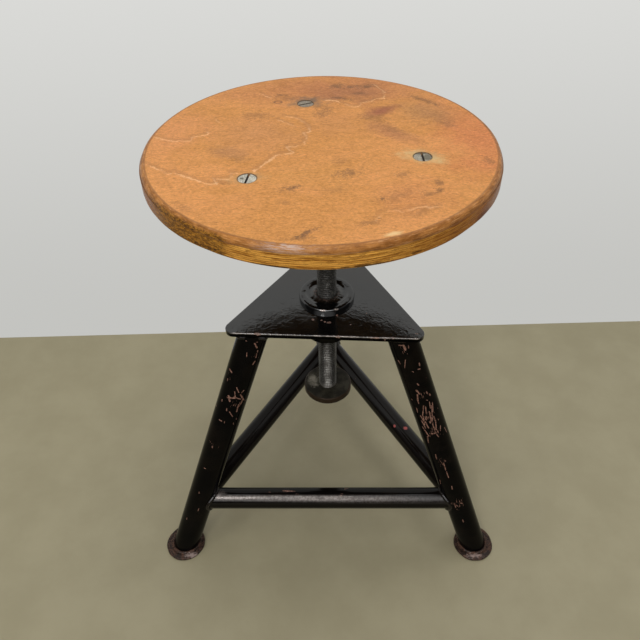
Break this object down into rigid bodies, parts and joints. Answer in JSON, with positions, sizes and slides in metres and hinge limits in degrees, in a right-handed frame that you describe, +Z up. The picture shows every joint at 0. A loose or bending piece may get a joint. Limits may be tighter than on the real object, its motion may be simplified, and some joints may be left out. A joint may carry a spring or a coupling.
{
  "type": "machinist stool",
  "caption": "Round plywood seat on a threaded spindle that turns up and down in a flanged nut, on a welded frame of splayed tube legs with stretchers and disc feet.",
  "frame": {"origin": "on the floor under the spindle's axis, at the centre of the circle through the three feet", "axes": "+Z up along the spindle; -Y to the front, between the two front legs; +Y towards the rear leg; +X to the right as seen from the front"},
  "size_m": [0.4452, 0.423, 0.536],
  "materials": {
    "seat_wood": "worn clear finish on plywood",
    "black_paint": "gloss black enamel, chipped to primer and rust",
    "rusty_steel": "rust brown, paint worn off",
    "spindle_steel": "machined thread, greasy and dark above, bright below",
    "disc_steel": "turned steel, worn, brown at the rim",
    "screw_steel": "worn bright screw heads",
    "dull_steel": "dull oiled steel"
  },
  "bodies": {
    "frame": {"frame_plate": "black_paint", "spindle_nut": "black_paint", "nut_weld": "black_paint", "leg_left": "black_paint", "leg_right": "black_paint", "leg_rear": "black_paint", "leg_top_welds": "black_paint", "foot_left": "rusty_steel", "foot_right": "rusty_steel", "foot_rear": "rusty_steel", "foot_welds": "rusty_steel", "stretcher_front": "black_paint", "stretcher_left": "black_paint", "stretcher_right": "black_paint", "stretcher_welds": "black_paint"},
    "stop": {"stop_disc": "disc_steel"},
    "seat": {"seat_board": "seat_wood", "seat_screws": "screw_steel", "seat_washers": "dull_steel", "seat_nuts": "dull_steel", "seat_plate": "black_paint", "seat_hub": "black_paint", "hub_pin": "dull_steel", "hub_weld": "black_paint", "spindle": "spindle_steel", "stop_nut": "dull_steel", "stop_pin": "dull_steel"}
  },
  "joints": [
    {"name": "seat_rise", "type": "slide", "parent": "frame", "child": "stop", "axis": [0, 0, 1], "range_m": [-0.123, 0.093]},
    {"name": "seat_turn", "type": "hinge", "parent": "stop", "child": "seat", "pos_m": [0, 0, 0.51], "axis": [0, 0, 1], "range_deg": [-14760, 11160]}
  ],
  "couplings": [
    {"joint": "seat_rise", "follows": "seat_turn", "m_per_rad": 0.00047746}
  ]
}
